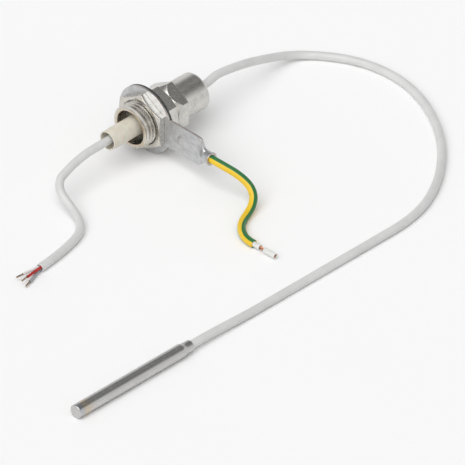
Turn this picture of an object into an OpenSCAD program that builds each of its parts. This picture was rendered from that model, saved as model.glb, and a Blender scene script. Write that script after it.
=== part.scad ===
// Thermocouple with a threaded panel gland, an earth terminal on the gland and a crimped probe.
// Millimetres, +Z up. The origin is the centre of the gland thread's free end.
// +X runs along the gland axis from there to the dome nut, and the earth terminal points to -Y.

/* [Gland body] */
// Major diameter of the gland thread
thread_d = 16; // [15:0.1:18]
// Pitch of the gland thread
thread_pitch = 1.5; // [1.2:0.1:2]
// Width of the flat land on each free thread crest
thread_land = 0.3; // [0.2:0.05:0.35]
// Length of the thread's lead-in chamfer
thread_lead = 0.4; // [0.3:0.05:0.5]
// Length of thread that stands free in front of the lock nut
thread_free_l = 4.4; // [4:0.1:8]
// Metal between the thread's root and the wide bore at the mouth
mouth_wall = 0.8; // [0.6:0.1:2]
// Width across flats of the body's hexagon
body_af = 17; // [16:0.5:20]
// Length of the body's hexagon
body_hex_l = 6.1; // [4:0.1:9]
// Turn of the body's hexagon from its upright position, in degrees
body_hex_turn = 5; // [0:1:30]
// Chamfer at the back of the body's hexagon
body_chamfer = 0.5; // [0.2:0.1:1]
// Depth of the plain shank below the thread's crests, so that the terminal slips over both
shank_drop = 0.2; // [0.2:0.05:0.4]
// Metal between the sleeve's stop and the back of the body's hexagon
sleeve_stop_t = 0.6; // [0.4:0.1:1.5]
// Length of the rear spigot that the dome nut screws on
spigot_l = 5; // [4:0.1:7]
// Metal between the spigot's thread and the seal's tapered seat
spigot_wall = 1.6; // [1.2:0.1:2.2]
// Depth of the seal's tapered seat
seat_depth = 3; // [2:0.1:4]
// Bore behind the sleeve's end
throat_d = 5.2; // [4:0.1:5.8]

/* [Panel gasket] */
// Thickness of the gasket
gasket_t = 0.8; // [0.5:0.1:2]

/* [Lock nut] */
// Metal between the lock nut's bore and its flats
nut_rim = 1.44; // [1:0.02:3]
// Thickness of the lock nut
nut_t = 2.8; // [2:0.1:5]
// Countersink at the front of the nut's thread
nut_countersink = 0.4; // [0.2:0.1:0.8]
// Axial length of the front chamfer at the nut's corners
nut_chamfer = 0.8; // [0.4:0.1:1.2]

/* [Dome nut] */
// Diameter of the dome nut's round barrel
dome_d = 14; // [12:0.1:16]
// Length of the dome nut
dome_l = 16.5; // [15:0.5:24]
// Width across flats of the dome nut
dome_af = 16.2; // [16:0.1:20]
// Length of the dome nut's hexagon
dome_hex_l = 5.1; // [4:0.1:7]
// Axial length of the long chamfer at the front of the hexagon
dome_front_chamfer = 2.4; // [1:0.1:3]
// Axial length of the chamfer at the back of the hexagon
dome_back_chamfer = 0.4; // [0.3:0.1:1]
// Rounding of the barrel's rear edge
dome_round = 1.2; // [0.5:0.1:2]
// Wall of the dome nut round the spigot
dome_wall = 0.6; // [0.4:0.05:1]
// Wall of the dome nut round the seal
dome_seal_wall = 1.3; // [1.1:0.1:2]
// Thickness of the dome nut's end wall
dome_end_t = 2.6; // [1.5:0.1:3.5]
// Gap left between the dome nut and the body's hexagon
dome_gap = 0.5; // [0.2:0.1:1.5]
// Thickness of the thrust ring
thrust_t = 1.2; // [0.8:0.1:2]

/* [Earth terminal] */
// Outer diameter of the terminal's ring and of the gasket behind it
lug_ring_d = 25; // [22:0.5:30]
// Thickness of the terminal's sheet
lug_t = 0.8; // [0.7:0.05:1.2]
// Width of the terminal's palm
palm_w = 11.6; // [9:0.1:14]
// Distance from the gland axis to the place where the palm's upper edge starts to narrow
palm_end = 26.5; // [22:0.5:30]
// How much sooner the palm's lower edge starts to narrow
palm_sooner = 1.5; // [0:0.1:2]
// Length of the narrowing part, along the upper edge
neck_l = 4; // [3:0.1:6]
// Drop of the palm's centre line below the gland axis
palm_drop = 0.5; // [0:0.1:1]
// Width of the funnel where it rises from the palm
funnel_w = 6; // [5:0.1:8]
// Length of the crimped barrel
barrel_l = 1.8; // [1.5:0.1:6]
// Wall of the crimped barrel
barrel_wall = 0.7; // [0.4:0.05:1]
// Height and width of the bead round the barrel's mouth
barrel_bead = 0.25; // [0.1:0.05:0.5]
// Set of the barrel's axis in front of the palm's middle plane
barrel_set = 0.6; // [0:0.1:1]
// Width of the flattened conductor inside the palm
conductor_w = 3.6; // [2.5:0.1:5]
// Thickness of the flattened conductor
conductor_t = 0.3; // [0.2:0.05:0.4]
// Distance from the gland axis to the conductor's rounded end
conductor_start = 16; // [15:0.5:19]

/* [Insulating sleeve] */
// Outer diameter of the sleeve
sleeve_d = 7.2; // [6:0.1:9]
// Wall of the sleeve
sleeve_wall = 0.5; // [0.3:0.05:0.8]
// Length of sleeve that stands out of the thread
sleeve_free_l = 10.8; // [5:0.1:14]
// Length of sleeve held in the gland's web
sleeve_seat_l = 3.2; // [2:0.1:4]

/* [Cable] */
// Outer diameter of the cable
cable_d = 3; // [2.4:0.1:3.6]
// Diameter of an insulated core
core_d = 1; // [0.8:0.05:1.1]
// Length of the middle core that stands out of the cable's cut end
core_l = 7.25; // [4:0.05:12]
// Difference in length between neighbouring cores
core_l_step = 0.65; // [0:0.05:2]
// Diameter of a core's bare tip
tip_d = 0.6; // [0.4:0.05:0.7]
// Length of a core's bare tip
tip_l = 2.8; // [2:0.1:8]
// Angle between neighbouring cores, in degrees
core_fan = 11.5; // [10:0.5:20]
// Depth to which the cores are held in the cable's cut end
core_hold = 0.6; // [0.3:0.1:2]

/* [Probe] */
// Distance from the gland axis to the probe's axis
probe_offset = 94.5; // [85:0.5:105]
// Outer diameter of the probe sheath
sheath_d = 5; // [4.8:0.1:8]
// Length of the probe sheath with its crimped neck
sheath_l = 54.2; // [50:0.1:100]
// Wall of the probe sheath
sheath_wall = 0.4; // [0.3:0.05:0.6]
// Thickness of the closed tip
sheath_tip_t = 0.9; // [0.6:0.1:1.5]
// Rounding of the closed tip's edge
sheath_round = 0.3; // [0.2:0.05:1.5]
// Length of the crimped neck
neck_crimp_l = 5; // [3:0.1:8]
// Length of the neck's straight rim
neck_rim = 2.6; // [1:0.1:2.8]
// Rounding of the neck's rim
neck_round = 0.4; // [0.1:0.05:0.5]
// Wall of the crimped neck
neck_wall = 0.55; // [0.5:0.05:0.8]
// Length of the bush in front of the neck
bush_l = 5; // [3:0.5:8]
// Length of a crimped splice
splice_l = 6.5; // [4:0.5:9]
// Diameter of a crimped splice
splice_d = 1.2; // [1:0.05:1.25]
// Depth of the cement that fills the tip
filler_l = 3; // [2.5:0.1:5]
// Diameter of the welded junction bead
bead_d = 2; // [1.8:0.1:2.2]
// Diameter of a thermocouple wire
element_d = 0.6; // [0.4:0.05:0.65]
// Distance between the two thermocouple wires
element_pitch = 1.4; // [1.3:0.05:1.5]

/* [Earth lead] */
// Outer diameter of the earth lead's jacket
lead_d = 2.9; // [2.4:0.1:3.2]
// Diameter of the insulation under the jacket
lead_inner_d = 1.9; // [1.5:0.1:2.2]
// Length of that insulation left beyond the jacket
lead_inner_l = 3; // [1:0.5:5]
// Diameter of the twisted strands
strand_d = 1.4; // [1:0.1:1.5]
// Length of strands that show
strand_l = 2; // [1:0.5:5]
// Length of the insulation slug left on the strands' end
slug_l = 5.2; // [3:0.1:8]

/* [Clearances] */
// Radial clearance of screwed and turning pieces
run_clear = 0.06; // [0.03:0.01:0.1]
// Radial clearance of pieces that slip past each other
slip_clear = 0.3; // [0.25:0.05:0.5]
// Radial clearance of the cable's way out of the dome nut
exit_clear = 0.5; // [0.3:0.1:0.8]
// Radial clearance of pieces that are pushed together
push_clear = 0.03; // [0.02:0.01:0.05]
// Gap between end faces of pieces that move apart
face_gap = 0.1; // [0.05:0.05:0.2]

/* [Hidden] */
$fn = 64;
hex_sides = 6;
tube_sides = 8;
blend_steps = 10;
corner_step = 15;
hull_sides = 32;
// Half angle of a thread's flanks, and a thread's depth in pitches
flank_angle = 30;
depth_in_pitches = 0.58;
// How far cuts run past a face, and how far solids of one piece overlap
past = 1;
overlap = 0.1;

// Stations along the gland axis
lug_x = thread_free_l + nut_t;
gasket_x = lug_x + lug_t;
seat_x = gasket_x + gasket_t;
spigot_x = seat_x + body_hex_l;
spigot_end = spigot_x + spigot_l;
dome_x = spigot_x + dome_gap;
dome_end = dome_x + dome_l;
dome_floor = dome_end - dome_end_t;
thrust_x = dome_floor - face_gap - thrust_t;
sleeve_end = spigot_x - sleeve_stop_t;
web_x = sleeve_end - sleeve_seat_l;
// Where the two stretches of cable meet inside the gland
cable_joint_x = spigot_x;

// Radii about the gland axis
thread_r = thread_d / 2;
thread_depth = depth_in_pitches * thread_pitch;
root_r = thread_r - thread_depth;
shank_r = thread_r - shank_drop;
spigot_r = dome_d / 2 - dome_wall - run_clear;
seat_r = spigot_r - spigot_wall;
cavity_r = dome_d / 2 - dome_seal_wall;
cable_r = cable_d / 2;

// Cable from the gland to the probe, as steps from the middle of the dome nut's rear face: straight
// out, down to the table, round in a wide bend and back to the mouth of the probe's crimped neck
signal_steps = [
    [-11.9, 0, 0], [-3.9, 0, 0], [4.1, 0.1, 0.2], [7.6, 0.4, 0.55], [11.1, 0.75, 0.75], [18.1, 1.2, -0.5],
    [25.1, 1.5, -2.1], [32.1, 2, -4.4], [39.1, 2.5, -7], [45.1, 2.3, -9.05], [50.3, 0.7, -10.5],
    [54.7, -3.1, -11], [58.5, -8.4, -11], [61.6, -14.4, -11], [63.7, -21, -11], [64.6, -28, -11],
    [64.4, -35.2, -11], [62.9, -42.4, -11], [60.3, -49.9, -11], [56.5, -57.4, -11], [51.6, -65, -11],
    [45.7, -72.1, -11], [39, -78.5, -11], [31.8, -84.1, -11], [24.2, -88.6, -11], [16.6, -91.8, -11],
    [9.3, -93.6, -11], [2.1, -94.4, -11], [-6.9, -94.5, -11], [-15.9, -94.5, -11], [-24.9, -94.5, -11],
    [-36.9, -94.5, -11], [-48.9, -94.5, -11], [-60.9, -94.5, -11], [-69.9, -94.5, -10.9],
    [-78.9, -94.5, -10.5], [-87.9, -94.5, -10.1], [-97.4, -94.5, -10]];
// Length of cable held in the probe's neck and bush
cable_hold = neck_crimp_l + bush_l + face_gap;
// The steps stretch sideways with the probe's distance
side_stretch = -probe_offset / last(signal_steps)[1];
signal_path = [for (p = signal_steps) [dome_end + p[0], p[1] * side_stretch, p[2]]];
probe_mouth = last(signal_path);
signal_route = [[cable_joint_x, 0, 0], each signal_path, probe_mouth - [cable_hold, 0, 0]];

// Cable from the gland through the sleeve to its cut end
tail_route = [
    [cable_joint_x, 0, 0], [7, 0, 0], [0, 0, 0], [-7, 0, 0], [-14, 0, -0.1], [-20.2, 0.4, -0.7],
    [-25.8, 0.3, -1.7], [-30.6, -0.3, -2.7], [-33.8, -0.9, -3.6], [-35.9, -2.3, -4.7],
    [-37.4, -4.5, -5.8], [-38.1, -7.3, -7.1], [-38.5, -10.4, -8.5], [-39.2, -13.4, -9.6],
    [-40.4, -16.2, -10.4], [-42.4, -18.7, -10.9], [-45.2, -20.8, -11], [-48.8, -22.3, -11],
    [-53, -23.4, -11], [-57.8, -24.4, -11], [-63.2, -25.2, -11], [-68.6, -25.8, -11]];

// Earth lead from the terminal's barrel to its jacket's cut end
barrel_y = -(palm_end + neck_l);
barrel_mouth_y = barrel_y - barrel_l;
barrel_x = lug_x + lug_t / 2 - barrel_set;
// The lead's points are steps from the barrel's mouth, with their real heights
lead_steps = [
    [0, 0, -palm_drop], [0.2, -2.3, -0.7], [0.9, -5.7, -1.4], [2, -9.3, -2.6], [2.9, -12.7, -4.3],
    [3, -15.7, -6.2], [1.8, -18.1, -8.1], [-0.6, -19.7, -9.7], [-3.6, -20.8, -10.7], [-6.8, -22.1, -11],
    [-9.8, -24, -11], [-12.3, -26.7, -11], [-14, -29.9, -11], [-14.6, -32.7, -11], [-14.6, -34.7, -11]];
lead_route = [[barrel_x, barrel_y, -palm_drop], for (p = lead_steps) [barrel_x, barrel_mouth_y, 0] + p];

// The probe lies along the end of the cable, and its stations are distances from the closed tip
sheath_r = sheath_d / 2;
bore_r = sheath_r - sheath_wall;
neck_bore_r = cable_r + push_clear;
neck_r = neck_bore_r + neck_wall;
crimp_x = sheath_l - neck_crimp_l;
cable_end = sheath_l - cable_hold;
splice_x = cable_end - splice_l;
filler_end = sheath_tip_t + filler_l;
bead_x = sheath_tip_t + filler_l / 2;

function unit(v) = v / norm(v);
function tangent(path, i) = unit(path[min(i + 1, len(path) - 1)] - path[max(i - 1, 0)]);
function last(path) = path[len(path) - 1];
// Smooth step from 0 to 1
function ease(t) = (1 - cos(180 * t)) / 2;

// Solid turned about X from points of [station, radius]
module turned(profile) {
    rotate([0, 90, 0]) rotate_extrude() polygon([for (p = profile) [p[1], p[0]]]);
}

// Round bar along X from one station to another
module bar(from, to, r) {
    translate([from, 0, 0]) rotate([0, 90, 0]) cylinder(h = to - from, r = r);
}

// Hexagon along X with chamfered corners, each chamfer given as its length at the corners
module hexagon(from, to, af, front, back, turn = 0) {
    corner_r = af / sqrt(3);
    face_r = af / 2;
    profile = concat(
        [[from, 0], [from, front > 0 ? face_r : corner_r]],
        front > 0 ? [[from + front, corner_r]] : [],
        back > 0 ? [[to - back, corner_r]] : [],
        [[to, back > 0 ? face_r : corner_r], [to, 0]]);
    intersection() {
        translate([from, 0, 0]) rotate([0, 90, 0]) rotate([0, 0, -turn])
            cylinder(h = to - from, r = corner_r, $fn = hex_sides);
        turned(profile);
    }
}

// Straight rod between two points
module rod(a, b, d) {
    v = b - a;
    translate(a) rotate([0, acos(v[2] / norm(v)), atan2(v[1], v[0])]) cylinder(h = norm(v), d = d);
}

// Corners of the tube's section at one point of its route
function section(path, i, r) = let (
    t = tangent(path, i),
    side = unit(cross(t, [0, 0, 1])),
    up = cross(side, t))
    [for (k = [0:tube_sides - 1]) let (a = 360 * (k + 0.5) / tube_sides)
        path[i] + r * (cos(a) * side + sin(a) * up)];

// Closed tube swept along a route
module tube(path, d) {
    n = tube_sides;
    top = (len(path) - 1) * n;
    points = [for (i = [0:len(path) - 1]) each section(path, i, d / 2)];
    walls = [for (i = [0:len(path) - 2], k = [0:n - 1])
        let (a = i * n + k, b = i * n + (k + 1) % n)
        each [[a, b, b + n], [a, b + n, a + n]]];
    start_cap = [for (k = [1:n - 2]) [0, k + 1, k]];
    end_cap = [for (k = [1:n - 2]) [top, top + k, top + k + 1]];
    polyhedron(points, concat(walls, start_cap, end_cap));
}

// One thread ridge: lands stay flat in front of the nut, and the crests that it covers are sharp
function ridge_centre(k) = thread_lead + thread_land / 2 + k * thread_pitch;
function ridge_crest(k) = let (c = ridge_centre(k))
    c + thread_land / 2 < thread_free_l
        ? [[c - thread_land / 2, thread_r], [c + thread_land / 2, thread_r]]
        : [[c, thread_r]];
ridges = floor((lug_x - thread_lead) / thread_pitch);
root_half = (thread_pitch - thread_land) / 2 - thread_depth * tan(flank_angle);
thread_profile = concat(
    [[0, 0], [0, thread_r - thread_lead / tan(flank_angle)]],
    [for (k = [0:ridges - 1]) each concat(ridge_crest(k), let (g = ridge_centre(k) + thread_pitch / 2)
        [[g - root_half, root_r], [g + root_half, root_r]])],
    [[lug_x, shank_r], [seat_x, shank_r], [seat_x, 0]]);

module gland_body() {
    color("silver") difference() {
        union() {
            turned(thread_profile);
            hexagon(seat_x, spigot_x, body_af, 0, body_chamfer, body_hex_turn);
            bar(spigot_x - overlap, spigot_end, spigot_r);
        }
        bar(-past, web_x, root_r - mouth_wall);
        bar(web_x - past, sleeve_end, sleeve_d / 2 + push_clear);
        bar(sleeve_end - past, spigot_end + past, throat_d / 2);
        turned([[spigot_end - seat_depth, 0], [spigot_end - seat_depth, throat_d / 2],
            [spigot_end, seat_r], [spigot_end + past, seat_r], [spigot_end + past, 0]]);
    }
}

module panel_gasket() {
    color("dimgray") difference() {
        bar(gasket_x, seat_x, lug_ring_d / 2);
        bar(gasket_x - past, seat_x + past, shank_r + push_clear);
    }
}

module lock_nut() {
    bore_r = thread_r + run_clear;
    color("silver") difference() {
        hexagon(thread_free_l, lug_x, 2 * (bore_r + nut_rim), nut_chamfer, 0);
        bar(thread_free_l - past, lug_x + past, bore_r);
        turned([[thread_free_l - past, 0], [thread_free_l - past, bore_r + nut_countersink + past],
            [thread_free_l + nut_countersink, bore_r], [thread_free_l + nut_countersink, 0]]);
    }
}

// Rounded rear edge of the dome nut, as an arc of [station, radius]
dome_edge = [for (a = [0:corner_step:90])
    [dome_end - dome_round * (1 - sin(a)), dome_d / 2 - dome_round * (1 - cos(a))]];

module dome_nut() {
    barrel_from = dome_x + dome_front_chamfer;
    color("silver") difference() {
        union() {
            hexagon(dome_x, dome_x + dome_hex_l, dome_af, dome_front_chamfer, dome_back_chamfer);
            turned(concat([[barrel_from, 0], [barrel_from, dome_d / 2]], dome_edge, [[dome_end, 0]]));
        }
        bar(dome_x - past, spigot_end + past, spigot_r + run_clear);
        bar(dome_x - past, dome_floor, cavity_r);
        bar(dome_x - past, dome_end + past, cable_r + exit_clear);
    }
}

module thrust_ring() {
    color("white") difference() {
        bar(thrust_x, thrust_x + thrust_t, cavity_r - run_clear);
        bar(thrust_x - past, thrust_x + thrust_t + past, cable_r + slip_clear);
    }
}

// The seal fills the space between the spigot's taper and the thrust ring
module seal_insert() {
    seal_r = cavity_r - slip_clear;
    nose_x = spigot_end - seat_depth + 2 * slip_clear;
    nose_r = throat_d / 2 - push_clear;
    color("black") difference() {
        turned([[nose_x, 0], [nose_x, nose_r], [spigot_end + face_gap, seat_r - slip_clear / 2],
            [spigot_end + face_gap, seal_r], [thrust_x - face_gap, seal_r], [thrust_x - face_gap, 0]]);
        bar(nose_x - past, thrust_x + past, cable_r + push_clear);
    }
}

module insulating_sleeve() {
    color("ivory") difference() {
        bar(-sleeve_free_l, sleeve_end, sleeve_d / 2);
        bar(-sleeve_free_l - past, sleeve_end + past, sleeve_d / 2 - sleeve_wall);
    }
}

// Outline of the palm in points of [y, z], narrowing in an S-curve to the barrel
barrel_r = lead_d / 2 + push_clear + barrel_wall;
palm_half = palm_w / 2;
palm_root_y = -lug_ring_d / 4;
// Half width of the palm along its narrowing part
function palm_reach(t) = palm_half + (barrel_r - palm_half) * ease(t);
// One edge of the palm, from its root to the barrel, on the upper or the lower side
function palm_edge(sooner, side) = [[palm_root_y, side * palm_half],
    for (i = [0:blend_steps]) let (t = i / blend_steps)
        [-palm_end + sooner - (neck_l + sooner) * t, side * palm_reach(t)]];
function reversed(list) = [for (i = [len(list) - 1:-1:0]) list[i]];
palm_outline = concat(palm_edge(0, 1), reversed(palm_edge(palm_sooner, -1)));

// Flat sheet across X from an outline of [y, z] about the palm's centre line
module sheet(outline, from, thickness) {
    translate([from, 0, -palm_drop]) rotate([90, 0, 90]) linear_extrude(thickness) polygon(outline);
}

// Round bar towards -Y on the barrel's axis
module barrel_bar(from, to, r) {
    translate([barrel_x, from, -palm_drop]) rotate([90, 0, 0]) cylinder(h = from - to, r = r);
}

// Conductor hammered flat inside the palm and left round inside the barrel
module conductor(grow) {
    middle_x = lug_x + lug_t / 2;
    half_w = conductor_w / 2;
    flat_end = barrel_y + neck_l / 3;
    tip_y = -(conductor_start + half_w);
    outline = concat(
        [for (a = [0:corner_step:180]) [tip_y + (half_w + grow) * sin(a), (half_w + grow) * cos(a)]],
        [[flat_end - grow, -half_w - grow], [flat_end - grow, half_w + grow]]);
    sheet(outline, middle_x - conductor_t / 2 - grow, conductor_t + 2 * grow);
    barrel_bar(flat_end + neck_l / 6, barrel_y, strand_d / 2 + grow);
}

module earth_lug() {
    bead_r = barrel_r + barrel_bead;
    half_w = funnel_w / 2;
    root_y = -palm_end;
    color("gainsboro") difference() {
        union() {
            bar(lug_x, gasket_x, lug_ring_d / 2);
            sheet(palm_outline, lug_x, lug_t);
            hull() {
                sheet([[root_y, -half_w], [root_y, half_w], [root_y - overlap, half_w],
                    [root_y - overlap, -half_w]], lug_x, lug_t);
                barrel_bar(barrel_y, barrel_y - overlap, barrel_r, $fn = hull_sides);
            }
            barrel_bar(barrel_y, barrel_mouth_y, barrel_r);
            barrel_bar(barrel_mouth_y + 2 * barrel_bead, barrel_mouth_y, bead_r);
        }
        bar(lug_x - past, gasket_x + past, thread_r + slip_clear);
        conductor(push_clear);
        barrel_bar(barrel_y, barrel_mouth_y - past, lead_d / 2 + push_clear);
    }
}

module lug_conductor() {
    color("peru") conductor(0);
}

module signal_cable() {
    color("whitesmoke") tube(signal_route, cable_d);
}

module tail_cable() {
    color("whitesmoke") tube(tail_route, cable_d);
}

// The cores lie in a triangle inside the cable, turned from upright, and fan out from its cut end
core_triangle = 0.64;
core_turn = 48.5;
tail_end = last(tail_route);
tail_dir = unit(tail_end - tail_route[len(tail_route) - 2]);
core_ring_r = core_triangle * core_d;
function turned_dir(v, a) = [v[0] * cos(a) - v[1] * sin(a), v[0] * sin(a) + v[1] * cos(a), 0];
function core_dir(i) = turned_dir(tail_dir, i * core_fan);
function core_root(i) = let (side = turned_dir(tail_dir, 90), a = core_turn - 120 * i)
    tail_end - core_hold * tail_dir + core_ring_r * (cos(a) * side + [0, 0, sin(a)]);
function core_end(i) = core_root(i) + (core_hold + core_l + i * core_l_step) * core_dir(i);

module core(i) {
    rod(core_root(i), core_end(i), core_d);
}

module core_tip(i) {
    rod(core_end(i), core_end(i) + tip_l * core_dir(i), tip_d);
}

module positive_core() {
    color("white") core(-1);
}

module negative_core() {
    color("firebrick") core(0);
}

module drain_core() {
    color("lightgray") core(1);
}

module positive_tip() {
    color("peru") core_tip(-1);
}

module negative_tip() {
    color("peru") core_tip(0);
}

module drain_tip() {
    color("peru") core_tip(1);
}

// Carries pieces from the probe's own stations to the end of the cable
module at_probe() {
    translate(probe_mouth - [sheath_l, 0, 0]) children();
}

sheath_tip = [for (a = [0:corner_step:90])
    [sheath_round * (1 - cos(a)), sheath_r - sheath_round * (1 - sin(a))]];
// Crimped neck as an S-curve between two radii
function crimp(from_r, to_r) = [for (i = [0:blend_steps]) let (t = i / blend_steps)
    [crimp_x + (neck_crimp_l - neck_rim) * t, from_r + (to_r - from_r) * ease(t)]];

module probe_sheath() {
    color("lightsteelblue") at_probe() difference() {
        turned(concat([[0, 0]], sheath_tip, crimp(sheath_r, neck_r),
            [[sheath_l - neck_round, neck_r], [sheath_l, neck_r - neck_round], [sheath_l, 0]]));
        turned(concat([[sheath_tip_t, 0], [sheath_tip_t, bore_r]], crimp(bore_r, neck_bore_r),
            [[sheath_l + past, neck_bore_r], [sheath_l + past, 0]]));
    }
}

// Places a piece beside the probe's axis, on the positive or the negative side
module beside(side) {
    translate([0, side * element_pitch / 2, 0]) children();
}

module tip_filler() {
    color("beige") at_probe() difference() {
        bar(sheath_tip_t + push_clear, filler_end, bore_r - push_clear);
        translate([bead_x, 0, 0]) sphere(r = bead_d / 2 + push_clear);
        for (side = [-1, 1]) beside(side) bar(bead_x, filler_end + past, element_d / 2 + push_clear);
    }
}

module junction_bead() {
    color("gray") at_probe() translate([bead_x, 0, 0]) sphere(d = bead_d);
}

module ceramic_insulator() {
    from = filler_end + face_gap;
    color("white") at_probe() difference() {
        bar(from, splice_x - face_gap, bore_r - slip_clear / 2);
        for (side = [-1, 1]) beside(side) bar(from - past, splice_x + past, element_d / 2 + slip_clear / 3);
    }
}

module element(side) {
    at_probe() beside(side) bar(bead_x, splice_x + splice_l / 2, element_d / 2);
}

module splice(side) {
    at_probe() beside(side) difference() {
        bar(splice_x, cable_end, splice_d / 2);
        bar(splice_x - past, splice_x + splice_l / 2, element_d / 2 + push_clear);
    }
}

module positive_element() {
    color("darkkhaki") element(1);
}

module negative_element() {
    color("gray") element(-1);
}

module positive_splice() {
    color("tan") splice(1);
}

module negative_splice() {
    color("tan") splice(-1);
}

module neck_bush() {
    color("dimgray") at_probe() difference() {
        bar(cable_end + face_gap, crimp_x, bore_r - push_clear);
        bar(cable_end, crimp_x + past, cable_r + push_clear);
    }
}

module earth_lead() {
    color("yellow") tube(lead_route, lead_d);
}

// Pieces of the earth lead's stripped end, as distances from the jacket's cut end
lead_end = last(lead_route);
lead_dir = unit(lead_end - lead_route[len(lead_route) - 2]);

module lead_piece(from, length, d) {
    rod(lead_end + from * lead_dir, lead_end + (from + length) * lead_dir, d);
}

module lead_insulation() {
    color("white") lead_piece(0, lead_inner_l, lead_inner_d);
}

module lead_strands() {
    color("peru") lead_piece(lead_inner_l, strand_l, strand_d);
}

module lead_slug() {
    color("white") lead_piece(lead_inner_l + strand_l, slug_l, lead_inner_d);
}

gland_body();
panel_gasket();
lock_nut();
dome_nut();
thrust_ring();
seal_insert();
insulating_sleeve();
earth_lug();
lug_conductor();
signal_cable();
tail_cable();
positive_core();
negative_core();
drain_core();
positive_tip();
negative_tip();
drain_tip();
probe_sheath();
tip_filler();
ceramic_insulator();
junction_bead();
positive_element();
negative_element();
positive_splice();
negative_splice();
neck_bush();
earth_lead();
lead_insulation();
lead_strands();
lead_slug();
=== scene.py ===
import math

import bmesh
import bpy
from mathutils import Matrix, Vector


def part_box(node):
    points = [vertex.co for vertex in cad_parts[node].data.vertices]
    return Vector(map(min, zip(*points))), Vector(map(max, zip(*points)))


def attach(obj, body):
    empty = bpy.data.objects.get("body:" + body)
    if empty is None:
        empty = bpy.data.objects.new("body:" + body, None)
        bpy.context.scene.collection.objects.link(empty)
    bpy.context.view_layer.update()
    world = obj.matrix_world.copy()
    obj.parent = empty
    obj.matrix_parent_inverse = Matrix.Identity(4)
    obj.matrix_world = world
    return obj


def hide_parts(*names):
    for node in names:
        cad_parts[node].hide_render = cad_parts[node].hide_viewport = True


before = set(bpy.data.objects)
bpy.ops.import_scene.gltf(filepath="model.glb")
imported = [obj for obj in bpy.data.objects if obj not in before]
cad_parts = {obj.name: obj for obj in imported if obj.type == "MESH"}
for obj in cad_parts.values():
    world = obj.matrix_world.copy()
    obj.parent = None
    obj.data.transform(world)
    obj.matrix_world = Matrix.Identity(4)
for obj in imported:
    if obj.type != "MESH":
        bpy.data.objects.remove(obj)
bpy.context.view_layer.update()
scene = bpy.context.scene
mm = 0.001  # lengths below are in millimetres
upward = Vector((0, 0, 1))
print("frame loaded:", len(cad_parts), "nodes")

# the drawing is a parallel view, so a very long lens stands in for it
viewSet = {"azimuth": 224.9, "elevation": 35.15, "lens": 1600,
           "aim": (-19.07, -68.16, 0), "width": 156.69}  # the width is the picture's at the aim


def addCamera(view):
    camera = bpy.data.cameras.new("drawingView")
    camera.lens = view["lens"]
    turn = math.radians(view["azimuth"])
    tilt = math.radians(view["elevation"])
    back = Vector((math.cos(tilt) * math.cos(turn), math.cos(tilt) * math.sin(turn), math.sin(tilt)))
    away = view["width"] * mm * view["lens"] / camera.sensor_width
    camera.clip_start = away / 10
    camera.clip_end = away * 2
    holder = bpy.data.objects.new("drawingView", camera)
    holder.location = Vector(view["aim"]) * mm + back * away
    holder.rotation_euler = (-back).to_track_quat("-Z", "Y").to_euler()
    scene.collection.objects.link(holder)
    scene.camera = holder


addCamera(viewSet)
print("camera set")


class Wire:
    # a node's output that takes part in Python expressions
    def __init__(self, paint, socket):
        self.paint = paint
        self.socket = socket

    def __add__(self, other):
        return self.paint.maths("ADD", self, other)

    def __sub__(self, other):
        return self.paint.maths("SUBTRACT", self, other)

    def __rsub__(self, other):
        return self.paint.maths("SUBTRACT", other, self)

    def __mul__(self, other):
        return self.paint.maths("MULTIPLY", self, other)

    def __truediv__(self, other):
        return self.paint.maths("DIVIDE", self, other)

    def __rtruediv__(self, other):
        return self.paint.maths("DIVIDE", other, self)

    def __pow__(self, other):
        return self.paint.maths("POWER", self, other)

    def __rpow__(self, other):
        return self.paint.maths("POWER", other, self)

    __radd__ = __add__
    __rmul__ = __mul__


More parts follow.
